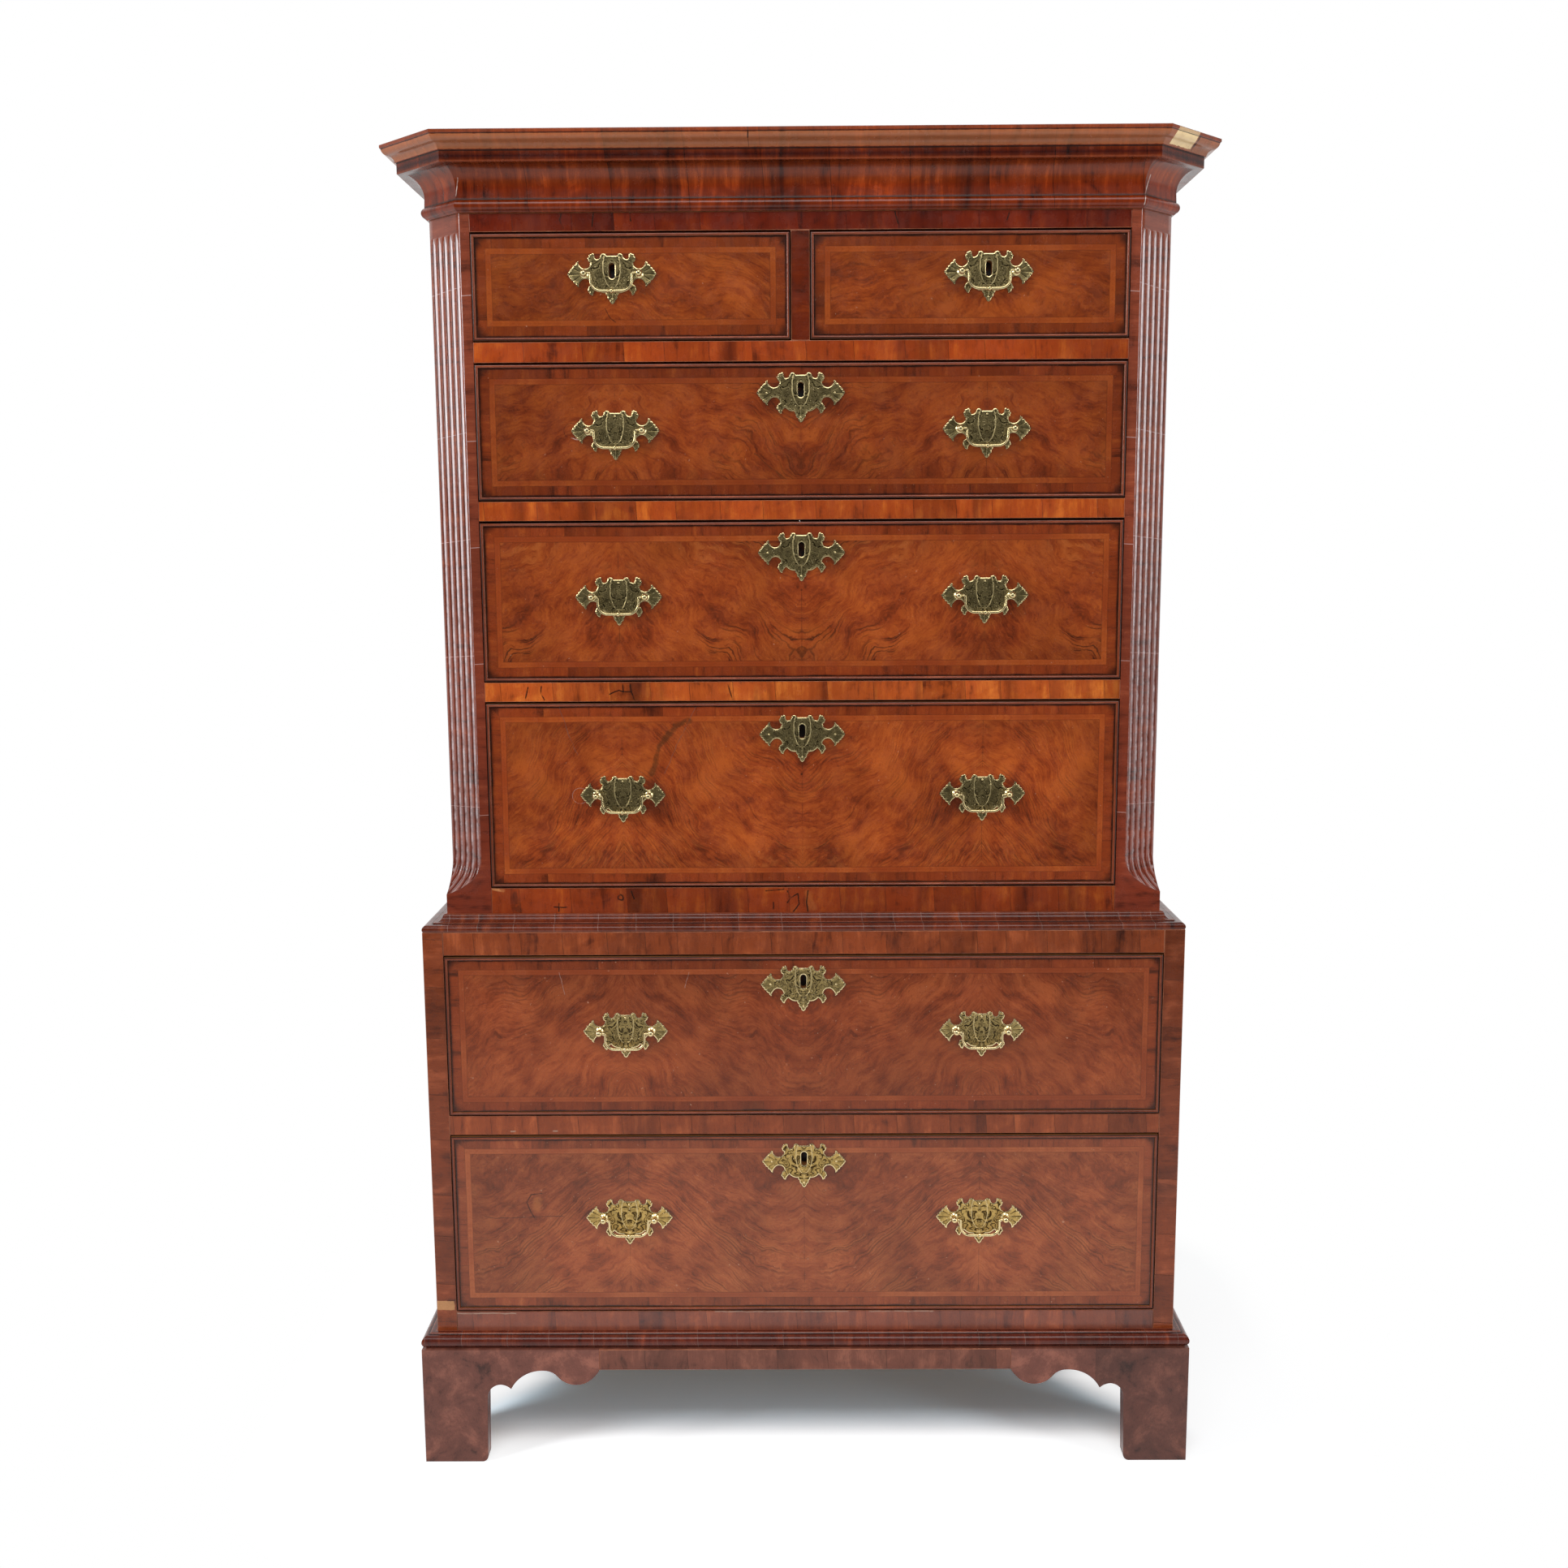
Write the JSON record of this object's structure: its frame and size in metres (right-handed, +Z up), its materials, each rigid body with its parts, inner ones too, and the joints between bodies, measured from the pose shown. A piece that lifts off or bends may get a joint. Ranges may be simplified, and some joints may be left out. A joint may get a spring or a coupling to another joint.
{
  "type": "chest on chest",
  "caption": "Tall chest on chest: a case of drawers with fluted canted corners and a cornice on a wider base with bracket feet, with batwing plates and bail handles.",
  "frame": {"origin": "on the floor, under the middle of the whole chest's width and depth", "axes": "+Z up, front faces -Y, +X to the right seen from the front"},
  "size_m": [1.074, 0.573, 1.77],
  "materials": {
    "rail_veneer": "French-polished walnut cross-banding",
    "stile_veneer": "French-polished dark walnut veneer",
    "drawer_veneer": "French-polished figured walnut veneer",
    "drawer_lining": "dry oiled oak",
    "corner_wood": "French-polished walnut",
    "moulding_wood": "French-polished cross-grain walnut",
    "side_wood": "French-polished walnut veneer",
    "foot_veneer": "French-polished burr walnut",
    "inner_wood": "bare softwood",
    "back_wood": "bare aged softwood",
    "brass": "worn lacquered brass",
    "iron": "filed iron"
  },
  "bodies": {
    "carcase": {"lower_sides": "side_wood", "lower_stiles": "stile_veneer", "lower_top_and_bottom": "inner_wood", "lower_rails": "rail_veneer", "lower_back_boards": "back_wood", "upper_sides": "side_wood", "upper_top_and_bottom": "inner_wood", "upper_rails": "rail_veneer", "upper_back_boards": "back_wood", "canted_corners": "corner_wood", "drawer_divider": "rail_veneer", "dustboards": "inner_wood", "drawer_guides": "inner_wood", "bracket_feet": "foot_veneer", "foot_blocks": "inner_wood", "aprons": "foot_veneer", "base_moulding": "moulding_wood", "waist_moulding": "moulding_wood", "cornice_moulding": "moulding_wood", "cornice_frame": "back_wood"},
    "small_drawer_left": {"small_drawer_left_front": "drawer_veneer", "small_drawer_left_box": "drawer_lining", "small_drawer_left_brasses": "brass"},
    "small_drawer_left_lock_bolt": {"small_drawer_left_lock_bolt": "iron"},
    "small_drawer_left_bail": {"small_drawer_left_bail": "brass"},
    "small_drawer_right": {"small_drawer_right_front": "drawer_veneer", "small_drawer_right_box": "drawer_lining", "small_drawer_right_brasses": "brass"},
    "small_drawer_right_lock_bolt": {"small_drawer_right_lock_bolt": "iron"},
    "small_drawer_right_bail": {"small_drawer_right_bail": "brass"},
    "upper_drawer_1": {"upper_drawer_1_front": "drawer_veneer", "upper_drawer_1_box": "drawer_lining", "upper_drawer_1_brasses": "brass"},
    "upper_drawer_1_lock_bolt": {"upper_drawer_1_lock_bolt": "iron"},
    "upper_drawer_1_bail_left": {"upper_drawer_1_bail_left": "brass"},
    "upper_drawer_1_bail_right": {"upper_drawer_1_bail_right": "brass"},
    "upper_drawer_2": {"upper_drawer_2_front": "drawer_veneer", "upper_drawer_2_box": "drawer_lining", "upper_drawer_2_brasses": "brass"},
    "upper_drawer_2_lock_bolt": {"upper_drawer_2_lock_bolt": "iron"},
    "upper_drawer_2_bail_left": {"upper_drawer_2_bail_left": "brass"},
    "upper_drawer_2_bail_right": {"upper_drawer_2_bail_right": "brass"},
    "upper_drawer_3": {"upper_drawer_3_front": "drawer_veneer", "upper_drawer_3_box": "drawer_lining", "upper_drawer_3_brasses": "brass"},
    "upper_drawer_3_lock_bolt": {"upper_drawer_3_lock_bolt": "iron"},
    "upper_drawer_3_bail_left": {"upper_drawer_3_bail_left": "brass"},
    "upper_drawer_3_bail_right": {"upper_drawer_3_bail_right": "brass"},
    "lower_drawer_1": {"lower_drawer_1_front": "drawer_veneer", "lower_drawer_1_box": "drawer_lining", "lower_drawer_1_brasses": "brass"},
    "lower_drawer_1_lock_bolt": {"lower_drawer_1_lock_bolt": "iron"},
    "lower_drawer_1_bail_left": {"lower_drawer_1_bail_left": "brass"},
    "lower_drawer_1_bail_right": {"lower_drawer_1_bail_right": "brass"},
    "lower_drawer_2": {"lower_drawer_2_front": "drawer_veneer", "lower_drawer_2_box": "drawer_lining", "lower_drawer_2_brasses": "brass"},
    "lower_drawer_2_lock_bolt": {"lower_drawer_2_lock_bolt": "iron"},
    "lower_drawer_2_bail_left": {"lower_drawer_2_bail_left": "brass"},
    "lower_drawer_2_bail_right": {"lower_drawer_2_bail_right": "brass"}
  },
  "joints": [
    {"name": "small_drawer_left_slide", "type": "slide", "parent": "carcase", "child": "small_drawer_left", "axis": [0, -1, 0], "range_m": [0, 0.38]},
    {"name": "small_drawer_left_lock_bolt_throw", "type": "slide", "parent": "small_drawer_left", "child": "small_drawer_left_lock_bolt", "axis": [0, 0, 1], "range_m": [0, 0.008]},
    {"name": "small_drawer_left_bail_swing", "type": "hinge", "parent": "small_drawer_left", "child": "small_drawer_left_bail", "pos_m": [-0.24, -0.2425, 1.605], "axis": [-1, 0, 0], "range_deg": [-15, 110]},
    {"name": "small_drawer_right_slide", "type": "slide", "parent": "carcase", "child": "small_drawer_right", "axis": [0, -1, 0], "range_m": [0, 0.38]},
    {"name": "small_drawer_right_lock_bolt_throw", "type": "slide", "parent": "small_drawer_right", "child": "small_drawer_right_lock_bolt", "axis": [0, 0, 1], "range_m": [0, 0.008]},
    {"name": "small_drawer_right_bail_swing", "type": "hinge", "parent": "small_drawer_right", "child": "small_drawer_right_bail", "pos_m": [0.24, -0.2425, 1.605], "axis": [-1, 0, 0], "range_deg": [-15, 110]},
    {"name": "upper_drawer_1_slide", "type": "slide", "parent": "carcase", "child": "upper_drawer_1", "axis": [0, -1, 0], "range_m": [0, 0.38]},
    {"name": "upper_drawer_1_lock_bolt_throw", "type": "slide", "parent": "upper_drawer_1", "child": "upper_drawer_1_lock_bolt", "axis": [0, 0, 1], "range_m": [0, 0.008]},
    {"name": "upper_drawer_1_bail_left_swing", "type": "hinge", "parent": "upper_drawer_1", "child": "upper_drawer_1_bail_left", "pos_m": [-0.24, -0.2425, 1.4095], "axis": [-1, 0, 0], "range_deg": [-15, 110]},
    {"name": "upper_drawer_1_bail_right_swing", "type": "hinge", "parent": "upper_drawer_1", "child": "upper_drawer_1_bail_right", "pos_m": [0.24, -0.2425, 1.4095], "axis": [-1, 0, 0], "range_deg": [-15, 110]},
    {"name": "upper_drawer_2_slide", "type": "slide", "parent": "carcase", "child": "upper_drawer_2", "axis": [0, -1, 0], "range_m": [0, 0.38]},
    {"name": "upper_drawer_2_lock_bolt_throw", "type": "slide", "parent": "upper_drawer_2", "child": "upper_drawer_2_lock_bolt", "axis": [0, 0, 1], "range_m": [0, 0.008]},
    {"name": "upper_drawer_2_bail_left_swing", "type": "hinge", "parent": "upper_drawer_2", "child": "upper_drawer_2_bail_left", "pos_m": [-0.24, -0.2425, 1.196], "axis": [-1, 0, 0], "range_deg": [-15, 110]},
    {"name": "upper_drawer_2_bail_right_swing", "type": "hinge", "parent": "upper_drawer_2", "child": "upper_drawer_2_bail_right", "pos_m": [0.24, -0.2425, 1.196], "axis": [-1, 0, 0], "range_deg": [-15, 110]},
    {"name": "upper_drawer_3_slide", "type": "slide", "parent": "carcase", "child": "upper_drawer_3", "axis": [0, -1, 0], "range_m": [0, 0.38]},
    {"name": "upper_drawer_3_lock_bolt_throw", "type": "slide", "parent": "upper_drawer_3", "child": "upper_drawer_3_lock_bolt", "axis": [0, 0, 1], "range_m": [0, 0.008]},
    {"name": "upper_drawer_3_bail_left_swing", "type": "hinge", "parent": "upper_drawer_3", "child": "upper_drawer_3_bail_left", "pos_m": [-0.24, -0.2425, 0.933], "axis": [-1, 0, 0], "range_deg": [-15, 110]},
    {"name": "upper_drawer_3_bail_right_swing", "type": "hinge", "parent": "upper_drawer_3", "child": "upper_drawer_3_bail_right", "pos_m": [0.24, -0.2425, 0.933], "axis": [-1, 0, 0], "range_deg": [-15, 110]},
    {"name": "lower_drawer_1_slide", "type": "slide", "parent": "carcase", "child": "lower_drawer_1", "axis": [0, -1, 0], "range_m": [0, 0.38]},
    {"name": "lower_drawer_1_lock_bolt_throw", "type": "slide", "parent": "lower_drawer_1", "child": "lower_drawer_1_lock_bolt", "axis": [0, 0, 1], "range_m": [0, 0.008]},
    {"name": "lower_drawer_1_bail_left_swing", "type": "hinge", "parent": "lower_drawer_1", "child": "lower_drawer_1_bail_left", "pos_m": [-0.24, -0.2705, 0.615], "axis": [-1, 0, 0], "range_deg": [-15, 110]},
    {"name": "lower_drawer_1_bail_right_swing", "type": "hinge", "parent": "lower_drawer_1", "child": "lower_drawer_1_bail_right", "pos_m": [0.24, -0.2705, 0.615], "axis": [-1, 0, 0], "range_deg": [-15, 110]},
    {"name": "lower_drawer_2_slide", "type": "slide", "parent": "carcase", "child": "lower_drawer_2", "axis": [0, -1, 0], "range_m": [0, 0.38]},
    {"name": "lower_drawer_2_lock_bolt_throw", "type": "slide", "parent": "lower_drawer_2", "child": "lower_drawer_2_lock_bolt", "axis": [0, 0, 1], "range_m": [0, 0.008]},
    {"name": "lower_drawer_2_bail_left_swing", "type": "hinge", "parent": "lower_drawer_2", "child": "lower_drawer_2_bail_left", "pos_m": [-0.24, -0.2705, 0.35], "axis": [-1, 0, 0], "range_deg": [-15, 110]},
    {"name": "lower_drawer_2_bail_right_swing", "type": "hinge", "parent": "lower_drawer_2", "child": "lower_drawer_2_bail_right", "pos_m": [0.24, -0.2705, 0.35], "axis": [-1, 0, 0], "range_deg": [-15, 110]}
  ]
}
